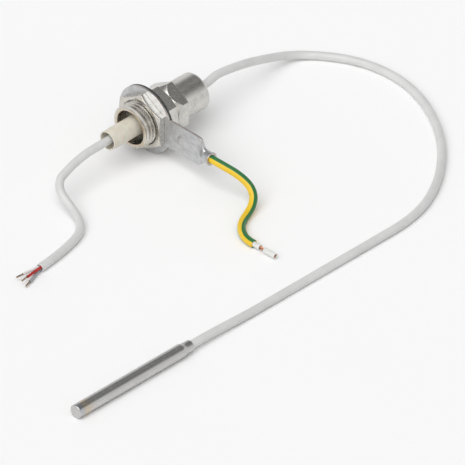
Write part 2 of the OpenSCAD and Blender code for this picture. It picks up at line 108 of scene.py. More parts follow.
class Paint:
    # one node tree: a new material's by default, or one that is given
    def __init__(self, name, tree=None):
        if tree is None:
            self.material = bpy.data.materials.new(name)
            self.material.use_nodes = True
            tree = self.material.node_tree
            self.shader = tree.nodes["Principled BSDF"]
        self.tree = tree

    def feed(self, socket, value):
        if isinstance(value, Wire):
            self.tree.links.new(value.socket, socket)
        elif socket.type == "RGBA":
            socket.default_value = (*value, 1)
        else:
            socket.default_value = value

    def node(self, kind, settings=None, sockets=None, out=0):
        made = self.tree.nodes.new("ShaderNode" + kind)
        for key, value in (settings or {}).items():
            if key == "stops":
                stops = made.color_ramp.elements
                for place, colour in value:
                    stops.new(place).color = (*colour, 1)
                stops.remove(stops[0])
                stops.remove(stops[-1])
            else:
                setattr(made, key, value)
        for key, value in (sockets or {}).items():
            self.feed(made.inputs[key], value)
        return Wire(self, made.outputs[out])

    def maths(self, operation, a, b):
        return self.node("Math", {"operation": operation}, {0: a, 1: b})

    def mixed(self, share, a, b):
        return self.node("Mix", {"data_type": "RGBA"}, {0: share, 6: a, 7: b}, 2)

    def place(self):
        return self.node("TexCoord", out="Object")

    def stretched(self, vector, by):
        return self.node("VectorMath", {"operation": "MULTIPLY"}, {0: vector, 1: by})

    def parts(self, vector):
        split = self.node("SeparateXYZ", None, {0: vector})
        return [Wire(self, s) for s in split.socket.node.outputs]

    def joined(self, x, y, z):
        return self.node("CombineXYZ", None, {0: x, 1: y, 2: z})

    def noise(self, size, vector, detail=3.0):
        return self.node("TexNoise", None, {"Vector": vector, "Scale": 1 / (size * mm), "Detail": detail})

    def step(self, value, low, high):
        limits = {"Value": value, "From Min": low, "From Max": high}
        return self.node("MapRange", {"interpolation_type": "SMOOTHSTEP"}, limits)

    # 1 between two soft edges
    def band(self, value, rise, fall):
        return self.step(value, *rise) * (1 - self.step(value, *fall))

    # soft patches where a noise of this size rises above its low limit
    def patches(self, vector, size, detail, low, high):
        return self.step(self.noise(size, vector, detail), low, high)

    # two close tones in clouds
    def toned(self, cloud, light, dark):
        return self.mixed(self.step(cloud, 0.35, 0.7), light, dark)

    def carried(self, name, out="Fac"):
        return self.node("Attribute", {"attribute_name": name}, out=out)

    def bump(self, height, strength, depth):
        return self.node("Bump", None, {"Height": height, "Strength": strength, "Distance": depth * mm})

    def finish(self, **sockets):
        names = {"colour": "Base Color", "rough": "Roughness", "metal": "Metallic", "normal": "Normal",
                 "milk": "Subsurface Weight", "milkDepth": "Subsurface Scale"}
        for name, value in sockets.items():
            self.feed(self.shader.inputs[names[name]], value)
        return self


# in these sets a patch has its size, its detail and its two limits

# nickel over brass on the gland and both nuts: tool rings round the axis, brass at rubbed edges
plateSet = {"colour": (0.66, 0.645, 0.61), "dull": (0.57, 0.555, 0.525), "brass": (0.74, 0.55, 0.28),
            "cloud": 3.0, "ring": 0.16, "smears": (0.9, 4.0, 0.45, 0.75), "rubbed": 0.4, "rough": 0.17}


def platedBrass(look):
    paint = Paint("platedBrass")
    place = paint.place()
    x, y, z = paint.parts(place)
    reach = (y * y + z * z) ** 0.5
    rings = paint.noise(look["ring"], paint.joined(x, reach, 0.0), 2.0)
    cloud = paint.noise(look["cloud"], place)
    rubbed = paint.step(paint.carried("worn") * (0.35 + cloud), 0.5, 0.95)
    colour = paint.toned(cloud, look["colour"], look["dull"])
    colour = paint.mixed(rubbed * look["rubbed"], colour, look["brass"])
    smears = paint.patches(place, *look["smears"])
    rough = look["rough"] + cloud * 0.1 + rings * 0.08 + smears * 0.07
    return paint.finish(colour=colour, metal=1.0, rough=rough,
                        normal=paint.bump(rings + smears * 0.3, 0.25, 0.01))


# drawn tube: fine lines along it, a heat tint behind the welded tip
steelSet = {"colour": (0.60, 0.595, 0.585), "streak": (0.50, 0.495, 0.49), "cloud": 4.0, "line": 0.12,
            "along": (0.02, 1.0, 1.0), "scuffs": (1.1, 5.0, 0.55, 0.75), "scuffAlong": (0.4, 1.0, 1.0),
            "rough": 0.2, "tip": -119.7, "tint": 7.0,
            "straw": (0.62, 0.50, 0.33), "strawBand": ((0.1, 0.35), (0.45, 1.1)), "strawShare": 0.55,
            "blue": (0.40, 0.43, 0.52), "blueBand": ((0.0, 0.12), (0.18, 0.4)), "blueShare": 0.4}


def drawnSteel(look):
    paint = Paint("drawnSteel")
    place = paint.place()
    lines = paint.noise(look["line"], paint.stretched(place, look["along"]), 2.0)
    cloud = paint.noise(look["cloud"], place)
    far = (paint.parts(place)[0] - look["tip"] * mm) / (look["tint"] * mm) + (cloud - 0.5) * 0.5
    colour = paint.mixed(paint.step(lines, 0.4, 0.65), look["colour"], look["streak"])
    for tint in ("straw", "blue"):
        share = paint.band(far, *look[tint + "Band"]) * look[tint + "Share"]
        colour = paint.mixed(share, colour, look[tint])
    scuffs = paint.patches(paint.stretched(place, look["scuffAlong"]), *look["scuffs"])
    rough = look["rough"] + lines * 0.12 + scuffs * 0.1
    return paint.finish(colour=colour, metal=1.0, rough=rough, normal=paint.bump(lines, 0.2, 0.008))


# tinned sheet: blotchy dip coat, copper where the press sheared the edge
tinSet = {"colour": (0.59, 0.595, 0.60), "dull": (0.49, 0.495, 0.50), "copper": (0.55, 0.34, 0.23),
          "blotch": 1.6, "grain": 0.25, "sheared": 0.3, "rough": 0.24}


def tinnedSheet(look):
    paint = Paint("tinnedSheet")
    place = paint.place()
    blotch = paint.noise(look["blotch"], place, 4.0)
    grain = paint.noise(look["grain"], place)
    colour = paint.toned(blotch, look["colour"], look["dull"])
    sheared = paint.step(paint.carried("worn") * (0.3 + blotch), 0.45, 0.9)
    colour = paint.mixed(sheared * look["sheared"], colour, look["copper"])
    rough = look["rough"] + blotch * 0.14 + grain * 0.06
    return paint.finish(colour=colour, metal=1.0, rough=rough,
                        normal=paint.bump(grain + blotch * 2.0, 0.2, 0.012))


# soft jacket of the cable: lines of the extruder along it, a little handling dirt
jacketSet = {"colour": (0.66, 0.665, 0.655), "shade": (0.61, 0.615, 0.605), "dirt": (0.46, 0.45, 0.43),
             "cloud": 7.0, "dirtPatches": (2.2, 6.0, 0.58, 0.8), "dirtShare": 0.2, "rough": 0.24,
             "line": 120.0, "along": (1.0, 1.0, 4.0), "grain": 0.2}


def softJacket(look):
    paint = Paint("softJacket")
    place = paint.place()
    lines = paint.noise(look["line"], paint.stretched(paint.carried("lay", "Vector"), look["along"]), 2.0)
    cloud = paint.noise(look["cloud"], place)
    dirt = paint.patches(place, *look["dirtPatches"])
    colour = paint.toned(cloud, look["colour"], look["shade"])
    colour = paint.mixed(dirt * look["dirtShare"], colour, look["dirt"])
    rough = look["rough"] + cloud * 0.1 + dirt * 0.12 + lines * 0.08
    grain = paint.noise(look["grain"], place, 2.0)
    return paint.finish(colour=colour, rough=rough, normal=paint.bump(lines + grain * 0.4, 0.3, 0.03))


# protective earth colours: yellow with a green stripe on each side, its middle and half width in degrees
stripeSet = {"yellow": (0.80, 0.53, 0.02), "green": (0.018, 0.16, 0.04), "dirt": (0.3, 0.22, 0.05),
             "middle": 92, "half": 42, "soft": 0.02, "waver": 6.0, "waverShare": 0.08, "cloud": 3.5,
             "dirtPatches": (1.4, 6.0, 0.6, 0.8), "dirtShare": 0.3, "rough": 0.34, "grain": 0.25}


def stripedJacket(look):
    paint = Paint("stripedJacket")
    place = paint.place()
    right, up, along = paint.parts(paint.carried("lay", "Vector"))
    turn = math.radians(look["middle"])
    edge = math.cos(math.radians(look["half"]))
    towards = right * math.cos(turn) + up * math.sin(turn)
    waver = (paint.noise(look["waver"], paint.joined(along, 0.0, 0.0)) - 0.5) * look["waverShare"]
    both = paint.node("Math", {"operation": "ABSOLUTE"}, {0: towards}) + waver
    stripe = paint.step(both, edge - look["soft"], edge + look["soft"])
    cloud = paint.noise(look["cloud"], place)
    dirt = paint.patches(place, *look["dirtPatches"])
    colour = paint.mixed(stripe, look["yellow"], look["green"])
    colour = paint.mixed(dirt * look["dirtShare"], colour, look["dirt"])
    return paint.finish(colour=colour, rough=look["rough"] + cloud * 0.14 + dirt * 0.1,
                        normal=paint.bump(paint.noise(look["grain"], place, 2.0), 0.1, 0.02))


# any other skin: two close tones in clouds, a fine grain for the bump
def mottled(name, light, dark, rough, metal=0.0, size=1.2, grain=0.12, milk=0.0, milkDepth=0.6):
    paint = Paint(name)
    place = paint.place()
    cloud = paint.noise(size, place, 4.0)
    fine = paint.noise(grain, place, 2.0)
    paint.finish(colour=paint.toned(cloud, light, dark), rough=rough + cloud * 0.14, metal=metal,
                 normal=paint.bump(fine + cloud, 0.18, 0.015))
    if milk:
        paint.finish(milk=milk, milkDepth=milkDepth * mm)
    return paint


finishes = {
    "plate": platedBrass(plateSet),
    "steel": drawnSteel(steelSet),
    "tin": tinnedSheet(tinSet),
    "jacket": softJacket(jacketSet),
    "lead": stripedJacket(stripeSet),
    "rubber": mottled("blackRubber", (0.030, 0.031, 0.033), (0.055, 0.055, 0.056), 0.55),
    "sleeve": mottled("sleevePlastic", (0.74, 0.70, 0.60), (0.66, 0.62, 0.52), 0.30, size=3.0, milk=0.12),
    "nylon": mottled("whiteNylon", (0.72, 0.71, 0.67), (0.64, 0.63, 0.59), 0.35, milk=0.1),
    "white": mottled("whiteCore", (0.76, 0.76, 0.74), (0.66, 0.66, 0.64), 0.32),
    "red": mottled("redCore", (0.50, 0.022, 0.020), (0.36, 0.016, 0.015), 0.32),
    "grey": mottled("greyCore", (0.36, 0.37, 0.38), (0.28, 0.29, 0.30), 0.34),
    "copper": mottled("bareCopper", (0.66, 0.32, 0.18), (0.42, 0.19, 0.10), 0.30, metal=1.0, size=0.5),
    "wire": mottled("bareWire", (0.52, 0.40, 0.30), (0.34, 0.25, 0.18), 0.30, metal=1.0, size=0.5),
    "ceramic": mottled("ceramic", (0.78, 0.76, 0.70), (0.70, 0.67, 0.60), 0.5),
    "element": mottled("elementWire", (0.46, 0.44, 0.41), (0.34, 0.32, 0.29), 0.32, metal=1.0),
}
print("finishes made:", len(finishes))


def clamped(t):
    return min(max(t, 0), 1)


def easeIn(t):
    return (1 - math.cos(math.pi * clamped(t))) / 2


# degrees of bend: an outward edge wears from the first on and over the second, past the crease it stays
# sharp; points nearer than the weld are joined
edgeSet = {"wearFrom": 9, "wearOver": 14, "crease": 23, "weld": 0.002}


# a piece in millimetres becomes a closed mesh that rides its body and stands for its solid
def makePiece(name, built, finish, body, replaced):
    verts, faces, *lay = built  # only tubes have a lay
    shape = bmesh.new()
    worn = shape.verts.layers.float.new("worn")
    layer = shape.verts.layers.float_vector.new("lay") if lay else None
    made = [shape.verts.new(Vector(v) * mm) for v in verts]
    for values in lay:
        for vert, value in zip(made, values):
            vert[layer] = Vector(value)
    for face in faces:
        shape.faces.new([made[i] for i in face])
    bmesh.ops.remove_doubles(shape, verts=shape.verts, dist=edgeSet["weld"] * mm)
    bmesh.ops.recalc_face_normals(shape, faces=shape.faces)
    for vert in shape.verts:
        edges = [edge for edge in vert.link_edges if len(edge.link_faces) == 2]
        bend = max((math.degrees(edge.calc_face_angle_signed(0)) for edge in edges), default=0)
        vert[worn] = clamped((bend - edgeSet["wearFrom"]) / edgeSet["wearOver"])
    mesh = bpy.data.meshes.new(name)
    shape.to_mesh(mesh)
    shape.free()
    mesh.shade_smooth()
    mesh.set_sharp_from_angle(angle=math.radians(edgeSet["crease"]))
    mesh.materials.append(finishes[finish].material)
    piece = bpy.data.objects.new(name, mesh)
    scene.collection.objects.link(piece)
    flats = piece.modifiers.new("flats", "WEIGHTED_NORMAL")  # wide faces stay flat beside rounded edges
    flats.keep_sharp = True
    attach(piece, body)
    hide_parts(*replaced)
    return piece


# four-sided faces between rows of points that follow one another
def facesBetween(rows, count, closed=True, base=0):
    faces = []
    for i in range(rows - 1):
        for k in range(count if closed else count - 1):
            a, b = base + i * count + k, base + i * count + (k + 1) % count
            faces.append((a, b, b + count, a + count))
    return faces


# smooth line through the route's points
def smoothPath(points, steps):
    points = [Vector(p) for p in points]
    ends = [points[0] * 2 - points[1], *points, points[-1] * 2 - points[-2]]
    path = []
    for a, b, c, d in zip(ends, ends[1:], ends[2:], ends[3:]):
        for k in range(steps):
            t = k / steps
            path.append(b + (c - a) * (t / 2) + (a * 2 - b * 5 + c * 4 - d) * (t * t / 2)
                        + (b * 3 - a - c * 3 + d) * (t ** 3 / 2))
    path.append(points[-1])
    return path


# rings of a tube, each with its middle, its heading, its radius and the length so far
def ringsAlong(path, radius):
    rings, travelled = [], 0
    for i, point in enumerate(path):
        heading = (path[min(i + 1, len(path) - 1)] - path[max(i - 1, 0)]).normalized()
        travelled += (point - path[i - 1]).length if i else 0
        rings.append((point, heading, radius, travelled))
    return rings


# a cut end shows the wall, its outer edge a little rounded, and a short way into the tube
def cutEnd(rings, wall, depth, edge):
    point, heading, radius, travelled = rings.pop()
    for back, r in ((edge, radius), (0.2 * edge, radius - 0.3 * edge), (0, radius - edge),
                    (0, radius - wall + edge), (edge, radius - wall), (depth, radius - wall)):
        rings.append((point - heading * back, heading, r, travelled))
    return rings


# a tube through the rings; each point carries its way round the tube and its length along it
def sweep(rings, sides, twist=None):
    verts, lay = [], []
    for point, heading, radius, travelled in rings:
        right = heading.cross(upward).normalized()
        over = right.cross(heading)
        turn = twist(travelled) if twist else 0
        for k in range(sides):
            angle = math.tau * (k + 0.5) / sides
            verts.append(point + (right * math.cos(angle) + over * math.sin(angle)) * radius)
            lay.append((math.cos(angle - turn), math.sin(angle - turn), travelled * mm))
    last = (len(rings) - 1) * sides
    ends = [tuple(range(sides - 1, -1, -1)), tuple(range(last, last + sides))]
    return verts, facesBetween(len(rings), sides) + ends, lay


def pathLength(path):
    return sum((b - a).length for a, b in zip(path, path[1:]))


def inMetres(path):
    return [tuple(p * mm) for p in path]


# cable from the gland to the probe, with the part's own route
signalSet = {
    "diameter": 3, "sides": 28, "steps": 6, "start": 14.9, "exit": 31.9, "hold": 10.1,
    "fromExit": [
        (-11.9, 0, 0), (-3.9, 0, 0), (4.1, 0.1, 0.2), (7.6, 0.4, 0.55), (11.1, 0.75, 0.75),
        (18.1, 1.2, -0.5), (25.1, 1.5, -2.1), (32.1, 2, -4.4), (39.1, 2.5, -7), (45.1, 2.3, -9.05),
        (50.3, 0.7, -10.5), (54.7, -3.1, -11), (58.5, -8.4, -11), (61.6, -14.4, -11), (63.7, -21, -11),
        (64.6, -28, -11), (64.4, -35.2, -11), (62.9, -42.4, -11), (60.3, -49.9, -11), (56.5, -57.4, -11),
        (51.6, -65, -11), (45.7, -72.1, -11), (39, -78.5, -11), (31.8, -84.1, -11), (24.2, -88.6, -11),
        (16.6, -91.8, -11), (9.3, -93.6, -11), (2.1, -94.4, -11), (-6.9, -94.5, -11), (-15.9, -94.5, -11),
        (-24.9, -94.5, -11), (-36.9, -94.5, -11), (-48.9, -94.5, -11), (-60.9, -94.5, -11),
        (-69.9, -94.5, -10.9), (-78.9, -94.5, -10.5), (-87.9, -94.5, -10.1), (-97.4, -94.5, -10)],
}


def makeSignalCable(cable):
    route = [Vector((cable["exit"], 0, 0)) + Vector(p) for p in cable["fromExit"]]
    route = [Vector((cable["start"], 0, 0)), *route, route[-1] - Vector((cable["hold"], 0, 0))]
    path = smoothPath(route, cable["steps"])
    built = sweep(ringsAlong(path, cable["diameter"] / 2), cable["sides"])
    piece = makePiece("signal_jacket", built, "jacket", "gland", ["signal_cable"])
    pathLength(path) * mm
    inMetres(path)
    print("signal cable: %.1f mm" % pathLength(path))


makeSignalCable(signalSet)

# wires laid round one in the middle, each with its end a little broken off
bundleSet = {"around": 6, "sides": 7, "steps": 18, "endBack": 0.1, "endRadius": 0.8}


# the bundle's radius at each share of its length comes from spread
def strandBundle(start, heading, length, strand, spread, turns):
    right = heading.cross(upward).normalized()
    over = right.cross(heading)
    around, steps = bundleSet["around"], bundleSet["steps"]
    verts, faces, lay = [], [], []
    for n in range(around + 1):
        path = []
        for k in range(steps + 1):
            t = k / steps
            angle = math.tau * (n / around + turns * t)
            off = spread(t) if n < around else 0
            path.append(start + heading * (length * t)
                        + (right * math.cos(angle) + over * math.sin(angle)) * off)
        rings = ringsAlong(path, strand / 2)
        point, ahead, radius, travelled = rings.pop()
        rings.append((point - ahead * (bundleSet["endBack"] * strand), ahead, radius, travelled))
        rings.append((point, ahead, radius * bundleSet["endRadius"], travelled))
        tube = sweep(rings, bundleSet["sides"])
        base = len(verts)
        verts += tube[0]
        faces += [tuple(i + base for i in face) for face in tube[1]]
        lay += tube[2]
    return verts, faces, lay


# cable from the gland through the sleeve to its cut end
tailSet = {
    "diameter": 3, "sides": 28, "steps": 6, "exit": -10.8, "wall": 0.36, "recess": 1.2, "edge": 0.08,
    "route": [
        (14.9, 0, 0), (7, 0, 0), (0, 0, 0), (-7, 0, 0), (-14, 0, -0.1), (-20.2, 0.4, -0.7),
        (-25.8, 0.3, -1.7), (-30.6, -0.3, -2.7), (-33.8, -0.9, -3.6), (-35.9, -2.3, -4.7),
        (-37.4, -4.5, -5.8), (-38.1, -7.3, -7.1), (-38.5, -10.4, -8.5), (-39.2, -13.4, -9.6),
        (-40.4, -16.2, -10.4), (-42.4, -18.7, -10.9), (-45.2, -20.8, -11), (-48.8, -22.3, -11),
        (-53, -23.4, -11), (-57.8, -24.4, -11), (-63.2, -25.2, -11), (-68.6, -25.8, -11)],
}
# cores in a triangle inside the cable that fan out beyond its end, each with its bare strands
coreSet = {
    "diameter": 1, "length": 7.25, "step": 0.65, "fan": 11.5, "hold": 0.6, "triangle": 0.64, "turn": 48.5,
    "sides": 18, "steps": 16, "wall": 0.18, "recess": 0.4, "edge": 0.06, "leave": 0.3, "settle": 0.45,
    "tip": 2.8, "tipHold": 0.35, "strand": 0.2, "strandRing": 0.2, "flare": 0.12, "turns": 0.9,
    "names": (("positive", "white", "core_white"), ("negative", "red", "core_red"),
              ("drain", "grey", "core_grey")),
}


def turnedLevel(v, degrees):
    a = math.radians(degrees)
    return Vector((v.x * math.cos(a) - v.y * math.sin(a), v.x * math.sin(a) + v.y * math.cos(a), 0))


# a core leaves along the cable, then bends to its own way out
def coreLine(cores, root, heading, end, out):
    reach = (end - root).length
    first = root + heading * (reach * cores["leave"])
    second = end - out * (reach * cores["settle"])
    line = []
    for k in range(cores["steps"] + 1):
        t = k / cores["steps"]
        line.append(root * (1 - t) ** 3 + first * (3 * t * (1 - t) ** 2)
                    + second * (3 * t * t * (1 - t)) + end * t ** 3)
    return line


def makeTail(tail, cores):
    path = smoothPath(tail["route"], tail["steps"])
    rings = cutEnd(ringsAlong(path, tail["diameter"] / 2), tail["wall"], tail["recess"], tail["edge"])
    jacket = makePiece("tail_jacket", sweep(rings, tail["sides"]), "jacket", "gland",
                       ["tail_cable"])
    heading = (Vector(tail["route"][-1]) - Vector(tail["route"][-2])).normalized()
    side = turnedLevel(heading, 90)

    def flared(t):
        return cores["strandRing"] * (1 + cores["flare"] * t)

    for i, (name, finish, slot) in zip((-1, 0, 1), cores["names"]):
        a = math.radians(cores["turn"] - 120 * i)
        offset = (side * math.cos(a) + upward * math.sin(a)) * (cores["triangle"] * cores["diameter"])
        out = turnedLevel(heading, i * cores["fan"])
        root = path[-1] - heading * cores["hold"] + offset
        end = root + out * (cores["hold"] + cores["length"] + i * cores["step"])
        skin = ringsAlong(coreLine(cores, root, heading, end, out), cores["diameter"] / 2)
        skin = sweep(cutEnd(skin, cores["wall"], cores["recess"], cores["edge"]), cores["sides"])
        makePiece(name + "_skin", skin, finish, "gland", [name + "_core"])
        strands = strandBundle(end - out * cores["tipHold"], out, cores["tip"] + cores["tipHold"],
                               cores["strand"], flared, cores["turns"])
        makePiece(name + "_strands", strands, "wire", "gland", [name + "_tip"])
    pathLength(path) * mm
    inMetres(path)
    print("tail cable: %.1f mm" % pathLength(path))


makeTail(tailSet, coreSet)

# earth lead from the terminal's barrel to its stripped end
earthSet = {
    "diameter": 2.9, "sides": 32, "steps": 6, "mouth": (7.0, -32.3, 0), "root": (7.0, -30.5, -0.5),
    "wall": 0.47, "recess": 0.6, "edge": 0.08,
    "fromMouth": [
        (0, 0, -0.5), (0.2, -2.3, -0.7), (0.9, -5.7, -1.4), (2, -9.3, -2.6), (2.9, -12.7, -4.3),
        (3, -15.7, -6.2), (1.8, -18.1, -8.1), (-0.6, -19.7, -9.7), (-3.6, -20.8, -10.7),
        (-6.8, -22.1, -11), (-9.8, -24, -11), (-12.3, -26.7, -11), (-14, -29.9, -11),
        (-14.6, -32.7, -11), (-14.6, -34.7, -11)],
    "twist": 72, "twistFrom": 13, "twistMost": 29.5, "twistTo": 48.5,
}
# stripped end: inner skin, bare strands drawn in at their middle, a slug of skin left on their end;
# the plug is the strands' cut ends inside the slug
strippedSet = {
    "diameter": 1.9, "sides": 24, "wall": 0.3, "edge": 0.08, "recess": 0.5, "hold": 0.5, "skin": 3,
    "bare": 2, "strand": 0.34, "strandRing": 0.44, "strandHold": 0.4, "turns": 0.9,
    "waist": 0.72, "waistFrom": 0.15, "waistLength": 0.7, "slug": 5.2, "slugRecess": 0.45,
    "plugFrom": 1.2, "plug": 1.08, "plugStrand": 0.36, "plugRing": 0.4, "plugTurns": 0.2,
}


def makeStrippedEnd(stripped, end, heading):
    radius, wall, edge = stripped["diameter"] / 2, stripped["wall"], stripped["edge"]
    skinEnd = end + heading * stripped["skin"]
    skin = [end - heading * stripped["hold"], end + heading * (stripped["skin"] / 2), skinEnd]
    skin = sweep(cutEnd(ringsAlong(skin, radius), wall, stripped["recess"], edge), stripped["sides"])

    def pinched(t):
        waist = math.sin(math.pi * clamped((t - stripped["waistFrom"]) / stripped["waistLength"]))
        return stripped["strandRing"] * (1 - (1 - stripped["waist"]) * waist)

    wires = strandBundle(skinEnd - heading * stripped["strandHold"], heading,
                         stripped["bare"] + 2 * stripped["strandHold"], stripped["strand"], pinched,
                         stripped["turns"])
    slugEnd = skinEnd + heading * (stripped["bare"] + stripped["slug"])
    slug = [slugEnd - heading * stripped["slug"], slugEnd - heading * (stripped["slug"] / 2), slugEnd]
    slug = ringsAlong(slug, radius)
    point, ahead, radius, travelled = slug.pop(0)
    # both ends of the slug are cut, with the wires just inside
    first = [(point + heading * far, ahead, r, travelled) for far, r in (
        (stripped["recess"], radius - wall), (edge, radius - wall), (0, radius - wall + edge),
        (0, radius - edge), (edge, radius))]
    slug = sweep(cutEnd(first + slug, wall, stripped["slugRecess"], edge), stripped["sides"])
    plug = strandBundle(slugEnd - heading * stripped["plugFrom"], heading, stripped["plug"],
                        stripped["plugStrand"], lambda t: stripped["plugRing"], stripped["plugTurns"])
    return [
        makePiece("lead_inner_skin", skin, "white", "earth_terminal", ["lead_insulation"]),
        makePiece("lead_wires", wires, "copper", "earth_terminal", ["lead_strands"]),
        makePiece("lead_slug_skin", slug, "white", "earth_terminal", ["lead_slug"]),
        makePiece("lead_slug_wires", plug, "copper", "earth_terminal", [])]


def makeEarthLead(lead, stripped):
    mouth, steps = Vector(lead["mouth"]), lead["fromMouth"]
    path = smoothPath([lead["root"], *(mouth + Vector(p) for p in steps)], lead["steps"])
    rings = cutEnd(ringsAlong(path, lead["diameter"] / 2), lead["wall"], lead["recess"], lead["edge"])

    # the bends roll the lead a little and back again
    def rolled(travelled):
        out = easeIn((travelled - lead["twistFrom"]) / (lead["twistMost"] - lead["twistFrom"]))
        home = easeIn((travelled - lead["twistMost"]) / (lead["twistTo"] - lead["twistMost"]))
        return math.radians(lead["twist"]) * out * (1 - home)

    jacket = makePiece("lead_jacket", sweep(rings, lead["sides"], rolled), "lead", "earth_terminal",
                       ["earth_lead"])
    heading = (Vector(steps[-1]) - Vector(steps[-2])).normalized()
    pathLength(path) * mm
    inMetres(path)
    makeStrippedEnd(stripped, path[-1], heading)
    print("earth lead: %.1f mm" % pathLength(path))


makeEarthLead(earthSet, strippedSet)


# a turned outline from corners of (station, radius, rounding), the rounding as a radius
def roundCorners(corners, steps=3):
    stretch, most = 1.17, 0.49  # a parabola this much longer than the arc, within half of each side
    points = []
    for i, (x, r, rounding) in enumerate(corners):
        here = Vector((x, r))
        if not rounding:
            points.append((x, r))
            continue
        before = Vector(corners[i - 1][:2]) - here
        after = Vector(corners[(i + 1) % len(corners)][:2]) - here
        a = before.normalized() * min(rounding * stretch, before.length * most)
        b = after.normalized() * min(rounding * stretch, after.length * most)
        for k in range(steps + 1):
            points.append(tuple(here + a * (1 - k / steps) ** 2 + b * (k / steps) ** 2))
    return points


# turned about an axis along X, with an outline for each angle from +Y towards +Z
def turned(outlineAt, angles, centre=(0, 0), closed=True):
    verts = []
    for angle in angles:
        row = outlineAt(angle)
        verts += [(x, centre[0] + r * math.cos(angle), centre[1] + r * math.sin(angle)) for x, r in row]
    return verts, facesBetween(len(angles), len(row), closed)


def roundAngles(count):
    return [math.tau * k / count for k in range(count + 1)]


# close steps at the hexagon's corners, wide ones over its flats
def hexAngles(turn):
    offs = (0, 6, 12, 18, 24, 27, 29.15, 29.6, 30)
    found = {0.0, 360.0}
    for flat in range(0, 360, 60):
        for off in offs:
            found.update(round((flat + sign * off - turn) % 360, 3) for sign in (-1, 1))
    return [math.radians(a) for a in sorted(found)]


# distance from the axis to a hexagon's side, its corners a little rounded
def hexReach(angle, across, turn, rounding=0.3):
    half, corner = across / 2, math.radians(30)
    off = (angle + math.radians(turn) + corner) % math.radians(60) - corner
    beyond = corner - abs(off)
    middle = (half - rounding) / math.cos(corner)
    if beyond < math.atan2(rounding * math.sin(corner), middle + rounding * math.cos(corner)):
        return middle * math.cos(beyond) + math.sqrt(rounding ** 2 - (middle * math.sin(beyond)) ** 2)
    return half / math.cos(off)


# how much of a corner chamfer's length is gone at this reach
def chamferShare(reach, across):
    face, corner = across / 2, across / math.sqrt(3)
    return (reach - face) / (corner - face)


# right-hand thread: points from one station to another at this angle
def threadPoints(angle, thread):
    pitch, start, end = thread["pitch"], thread["from"], thread["to"]
    crest, depth, land = thread["crest"], thread["depth"], thread["land"]
    flank = depth * math.tan(math.radians(30))  # its length along the axis
    marks = (-pitch / 2, -land / 2 - flank, -land / 2 - flank / 2, -land / 2, 0, land / 2,
             land / 2 + flank / 2, land / 2 + flank)

    def reachAt(x):
        away = abs((x - thread["ridge"] - pitch * angle / math.tau + pitch / 2) % pitch - pitch / 2)
        r = crest - depth * clamped((away - land / 2) / flank)
        r = min(r, thread["leadRadius"] + (x - start) * (crest - thread["leadRadius"]) / thread["lead"])
        out = easeIn((x - end + thread["runOut"]) / thread["runOut"])
        return r + (thread["shank"] - r) * out

    points = []
    for k in range(-2, int((end - start) / pitch) + 3):
        for mark in marks:
            x = min(max(thread["ridge"] + (k + angle / math.tau) * pitch + mark, start), end)
            points.append((x, reachAt(x)))
    return points


# panel gland: threaded front, hexagon, threaded spigot behind it
glandSet = {
    "thread": {"pitch": 1.5, "from": 0, "to": 7.2, "crest": 8.0, "depth": 0.87, "land": 0.3,
               "ridge": 0.55, "leadRadius": 7.307, "lead": 0.4, "shank": 7.8, "runOut": 0.8},
    "spigot": {"pitch": 1.5, "from": 15.7, "to": 19.9, "crest": 6.34, "depth": 0.42, "land": 0.4,
               "ridge": 16.3, "leadRadius": 5.9, "lead": 0.3, "shank": 5.95, "runOut": 0.5},
    "hexagon": (8.8, 14.9), "across": 17, "turn": 5, "backChamfer": 0.5, "faceInset": 0.02, "edge": 0.15,
    "relief": 5.9, "mouth": 6.53,
    # corners from the seal's seat through the throat and the sleeve's hole to the mouth
    "inside": [(19.9, 4.84, 0.1), (16.9, 2.6, 0.2), (14.3, 2.6, 0.08), (14.3, 3.63, 0),
               (11.1, 3.63, 0.15), (11.1, 6.33, 0.3), (0.2, 6.33, 0)],
}


def makeGland(gland):
    thread, spigot = gland["thread"], gland["spigot"]
    start, end = gland["hexagon"]
    across, edge = gland["across"], gland["edge"]
    inside = roundCorners(gland["inside"])

    def outline(angle):
        reach = hexReach(angle, across, gland["turn"])
        back = end - gland["backChamfer"] * chamferShare(reach, across)
        middle = roundCorners([
            (thread["to"], thread["shank"], 0), (start, thread["shank"], 0), (start, reach, edge),
            (back, reach, edge), (end, across / 2 - gland["faceInset"], 0), (end, gland["relief"], 0),
            (spigot["from"], gland["relief"], 0)])
        return [(thread["from"], gland["mouth"]), *threadPoints(angle, thread), *middle,
                *threadPoints(angle, spigot), *inside]

    makePiece("gland_shell", turned(outline, hexAngles(gland["turn"])), "plate", "gland",
              ["gland_body"])


makeGland(glandSet)

# thin nut that holds the terminal on the thread
nutSet = {"from": 4.4, "to": 7.2, "across": 19.0, "turn": 0, "bore": 8.06, "chamfer": 0.8, "sink": 0.4,
          "faceInset": 0.05, "edge": 0.15, "rim": 0.08}


def makeLockNut(nut):
    start, end, across = nut["from"], nut["to"], nut["across"]
    bore, sink, rim = nut["bore"], nut["sink"], nut["rim"]

    def outline(angle):
        reach = hexReach(angle, across, nut["turn"])
        front = start + nut["chamfer"] * chamferShare(reach, across)
        return roundCorners([
            (start, across / 2 - nut["faceInset"], 0), (front, reach, nut["edge"]),
            (end, reach, nut["edge"]), (end, bore + sink, rim), (end - sink, bore, rim),
            (start + sink, bore, rim), (start, bore + sink, rim)])

    makePiece("lock_nut_shell", turned(outline, hexAngles(nut["turn"])), "plate", "lock_nut",
              ["lock_nut"])


makeLockNut(nutSet)

